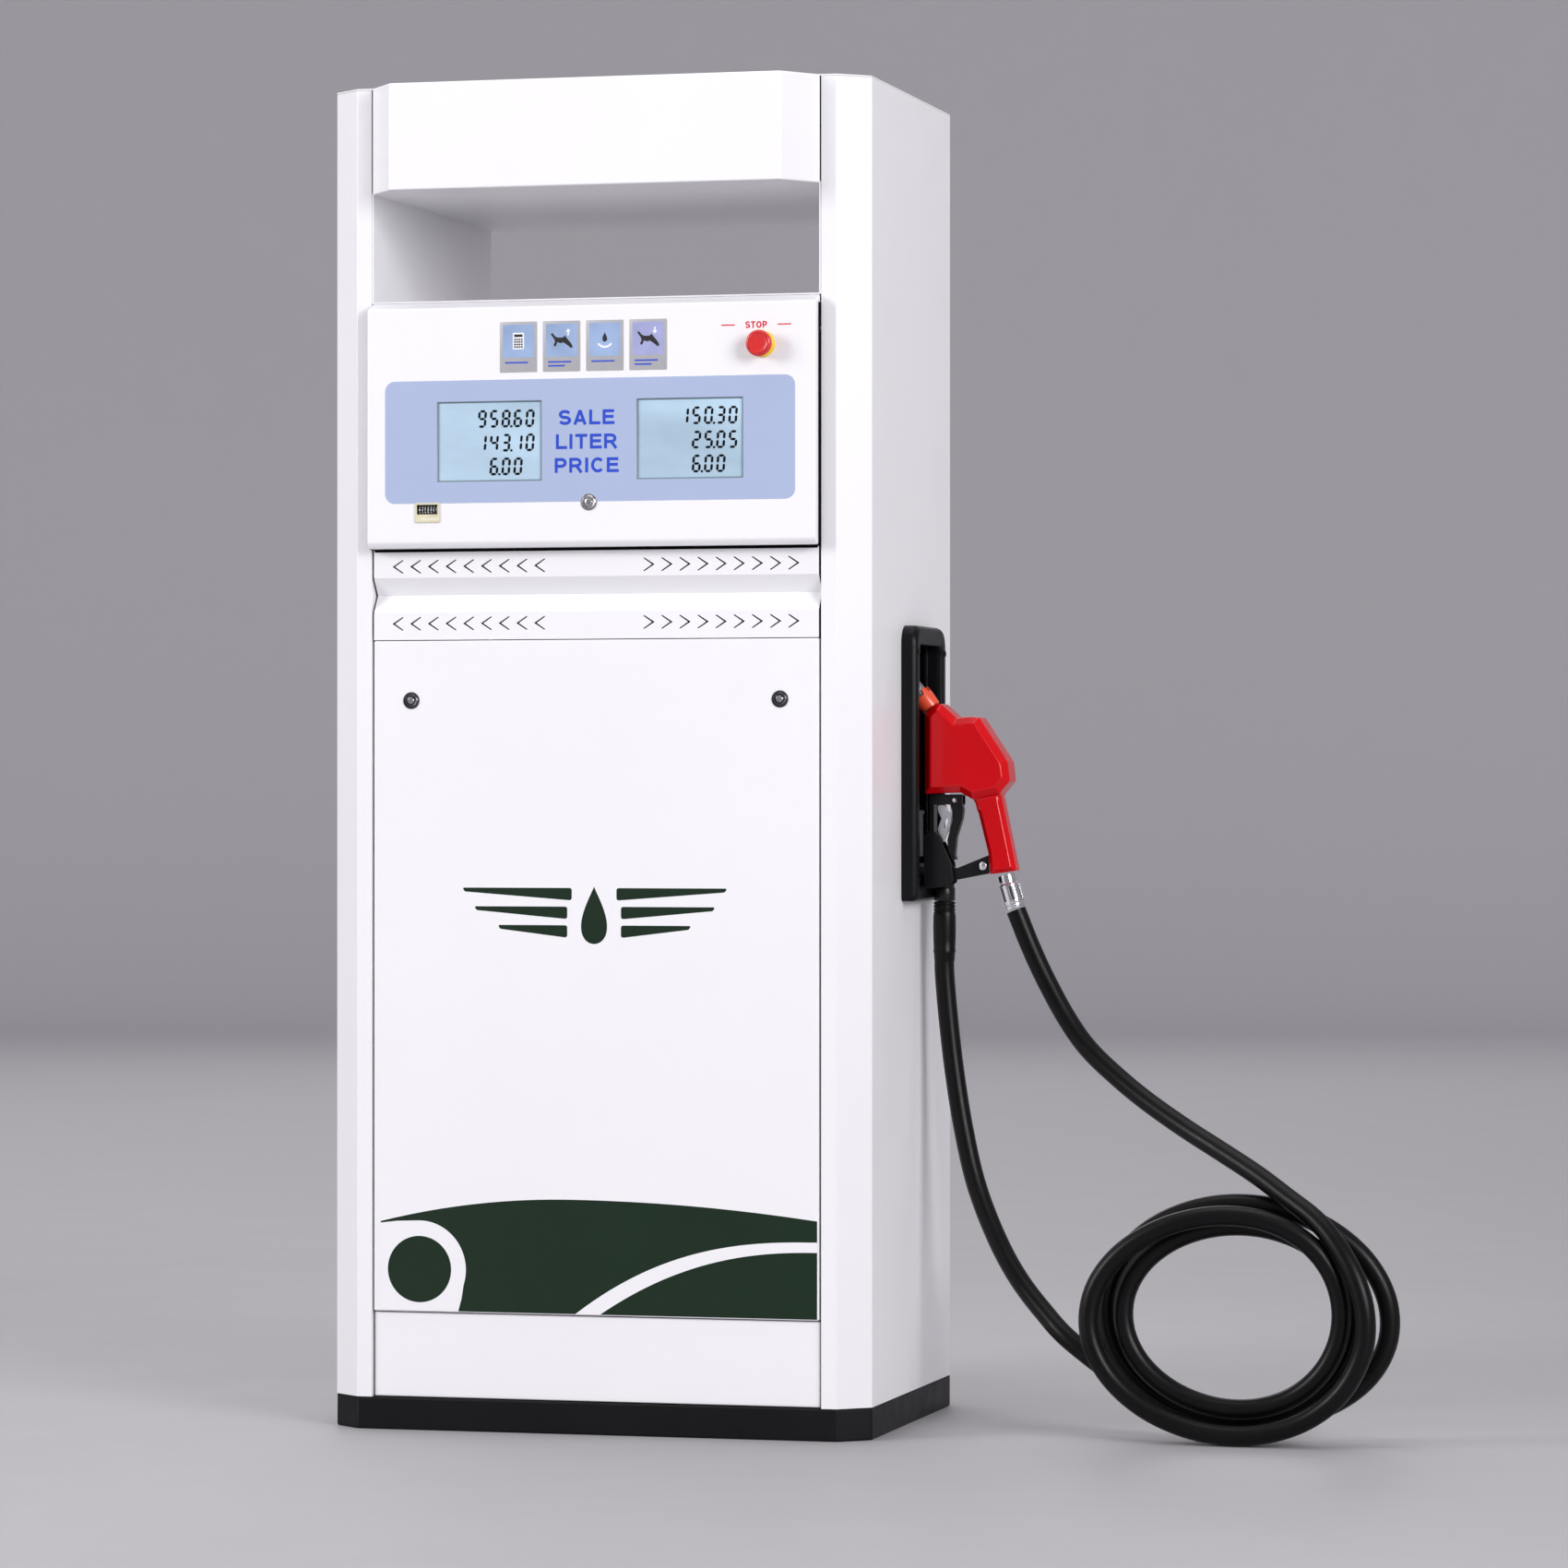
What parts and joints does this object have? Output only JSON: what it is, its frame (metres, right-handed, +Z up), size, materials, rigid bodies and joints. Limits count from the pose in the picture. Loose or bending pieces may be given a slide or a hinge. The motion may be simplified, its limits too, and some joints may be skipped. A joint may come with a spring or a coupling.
{
  "type": "fuel dispenser",
  "caption": "Double-sided fuel dispenser: white sheet-metal cabinet with display heads, vented panels, lower doors, pumping gear, side nozzle boot, nozzle and coiled hose.",
  "frame": {"origin": "centre of the plinth's underside, on the ground", "axes": "+Z up, -Y towards the front display, +X towards the side with the nozzle"},
  "size_m": [1.38, 0.604, 1.74],
  "materials": {
    "white_coat": "smooth satin white powder coat",
    "plinth_black": "satin black powder coat",
    "zinc_plate": "bright zinc plate",
    "boot_plastic": "moulded satin black plastic",
    "black_plastic": "black moulded nylon",
    "nozzle_red": "glossy red vinyl cover",
    "collar_orange": "glossy orange-red plastic",
    "stop_red": "glossy red plastic",
    "stop_yellow": "glossy yellow plastic",
    "counter_beige": "beige moulded plastic",
    "display_face": "pale cyan liquid-crystal face behind a clear window",
    "chrome_plate": "polished chrome plate",
    "aluminium_cast": "cast and machined aluminium",
    "iron_cast": "painted grey casting",
    "motor_paint": "blue machine enamel",
    "hose_rubber": "smooth black rubber"
  },
  "bodies": {
    "cabinet": {"plinth": "plinth_black", "base_tray": "zinc_plate", "right_side_shell": "white_coat", "left_side_shell": "white_coat", "roof_panel": "white_coat", "window_liner": "white_coat", "electronics_shelf": "zinc_plate", "control_box": "zinc_plate", "front_header_cover": "white_coat", "rear_header_cover": "white_coat", "front_vent_panel": "white_coat", "rear_vent_panel": "white_coat", "front_kick_panel": "white_coat", "rear_kick_panel": "white_coat", "nozzle_boot": "boot_plastic", "boot_well": "boot_plastic", "outlet_elbow": "zinc_plate", "hose_sleeve": "hose_rubber", "hose_pump_leg": "hose_rubber", "hose_coil": "hose_rubber", "hose_nozzle_leg": "hose_rubber", "pump_unit": "iron_cast", "motor": "motor_paint", "drive_belt": "hose_rubber", "flow_meter": "aluminium_cast", "solenoid_valve": "iron_cast", "inlet_pipe": "zinc_plate", "pump_outlet_pipe": "zinc_plate", "meter_outlet_pipe": "zinc_plate"},
    "front_door": {"front_lower_door": "white_coat"},
    "rear_door": {"rear_lower_door": "white_coat"},
    "front_head": {"front_display_door": "white_coat", "front_left_display": "display_face", "front_right_display": "display_face", "stop_collar": "stop_yellow", "totaliser_housing": "counter_beige"},
    "rear_head": {"rear_display_door": "white_coat", "rear_left_display": "display_face", "rear_right_display": "display_face"},
    "counter": {"totaliser_wheels": "black_plastic"},
    "stop_stem": {"stop_shaft": "aluminium_cast"},
    "stop_head": {"stop_mushroom": "stop_red"},
    "nozzle": {"nozzle_body": "nozzle_red", "spout_collar": "collar_orange", "nozzle_spout": "aluminium_cast", "lever_guard": "black_plastic", "hold_open_rack": "aluminium_cast", "trigger_pin": "chrome_plate"},
    "trigger": {"trigger_lever": "black_plastic"},
    "swivel": {"hose_swivel": "chrome_plate"},
    "flap": {"switch_flap": "boot_plastic"},
    "motor_rotor": {"motor_pulley": "iron_cast"},
    "pump_rotor": {"pump_pulley": "iron_cast"},
    "pulser": {"pulser_disc": "chrome_plate"},
    "front_left_lock": {"front_left_door_lock": "chrome_plate"},
    "front_right_lock": {"front_right_door_lock": "chrome_plate"},
    "front_head_lock": {"front_display_lock": "chrome_plate"},
    "rear_left_lock": {"rear_left_door_lock": "chrome_plate"},
    "rear_right_lock": {"rear_right_door_lock": "chrome_plate"},
    "rear_head_lock": {"rear_display_lock": "chrome_plate"}
  },
  "joints": [
    {"name": "front_door_tilt", "type": "hinge", "parent": "cabinet", "child": "front_door", "pos_m": [0, -0.252, 0.1535], "axis": [1, 0, 0], "range_deg": [0, 40]},
    {"name": "front_head_lift", "type": "hinge", "parent": "cabinet", "child": "front_head", "pos_m": [0, -0.255, 1.4575], "axis": [-1, 0, 0], "range_deg": [0, 80]},
    {"name": "front_left_lock_turn", "type": "hinge", "parent": "front_door", "child": "front_left_lock", "pos_m": [-0.247, -0.252, 0.945], "axis": [0, 1, 0], "range_deg": [0, 90]},
    {"name": "front_right_lock_turn", "type": "hinge", "parent": "front_door", "child": "front_right_lock", "pos_m": [0.247, -0.252, 0.945], "axis": [0, -1, 0], "range_deg": [0, 90]},
    {"name": "front_head_lock_turn", "type": "hinge", "parent": "front_head", "child": "front_head_lock", "pos_m": [0, -0.275, 1.198], "axis": [0, 1, 0], "range_deg": [0, 90]},
    {"name": "rear_door_tilt", "type": "hinge", "parent": "cabinet", "child": "rear_door", "pos_m": [0, 0.252, 0.1535], "axis": [-1, 0, 0], "range_deg": [0, 40]},
    {"name": "rear_head_lift", "type": "hinge", "parent": "cabinet", "child": "rear_head", "pos_m": [0, 0.255, 1.4575], "axis": [1, 0, 0], "range_deg": [0, 80]},
    {"name": "rear_left_lock_turn", "type": "hinge", "parent": "rear_door", "child": "rear_left_lock", "pos_m": [0.247, 0.252, 0.945], "axis": [0, -1, 0], "range_deg": [0, 90]},
    {"name": "rear_right_lock_turn", "type": "hinge", "parent": "rear_door", "child": "rear_right_lock", "pos_m": [-0.247, 0.252, 0.945], "axis": [0, 1, 0], "range_deg": [0, 90]},
    {"name": "rear_head_lock_turn", "type": "hinge", "parent": "rear_head", "child": "rear_head_lock", "pos_m": [0, 0.275, 1.198], "axis": [0, -1, 0], "range_deg": [0, 90]},
    {"name": "stop_press", "type": "slide", "parent": "front_head", "child": "stop_stem", "axis": [0, 1, 0], "range_m": [0, 0.005]},
    {"name": "stop_twist", "type": "hinge", "parent": "stop_stem", "child": "stop_head", "pos_m": [0.23, -0.275, 1.396], "axis": [0, 1, 0], "range_deg": [0, 40]},
    {"name": "counter_turn", "type": "hinge", "parent": "front_head", "child": "counter", "pos_m": [-0.2175, -0.267, 1.191], "axis": [1, 0, 0], "continuous": true},
    {"name": "nozzle_draw", "type": "slide", "parent": "cabinet", "child": "nozzle", "axis": [0.6428, 0, -0.766], "range_m": [0, 0.26], "deforming": ["hose_nozzle_leg"]},
    {"name": "trigger_squeeze", "type": "hinge", "parent": "nozzle", "child": "trigger", "pos_m": [0.418, 0.006, 0.816], "axis": [0, -1, 0], "range_deg": [0, 20], "stiffness_Nm_per_rad": 0.5},
    {"name": "swivel_turn", "type": "hinge", "parent": "nozzle", "child": "swivel", "pos_m": [0.4847, 0.006, 0.7185], "axis": [0.2756, 0, -0.9613], "continuous": true},
    {"name": "flap_swing", "type": "hinge", "parent": "cabinet", "child": "flap", "pos_m": [0.366, 0.006, 0.8], "axis": [0, -1, 0], "range_deg": [0, 12]},
    {"name": "pump_spin", "type": "hinge", "parent": "cabinet", "child": "pump_rotor", "pos_m": [-0.13, -0.128, 0.25], "axis": [0, 1, 0], "continuous": true},
    {"name": "motor_spin", "type": "hinge", "parent": "cabinet", "child": "motor_rotor", "pos_m": [0.135, -0.128, 0.15], "axis": [0, 1, 0], "continuous": true},
    {"name": "pulser_turn", "type": "hinge", "parent": "cabinet", "child": "pulser", "pos_m": [0.07, 0.07, 0.62], "axis": [0, 0, 1], "continuous": true}
  ],
  "couplings": [
    {"joint": "motor_spin", "follows": "pump_spin", "ratio": 2.3611},
    {"joint": "flap_swing", "follows": "nozzle_draw", "rad_per_m": 0.8}
  ]
}
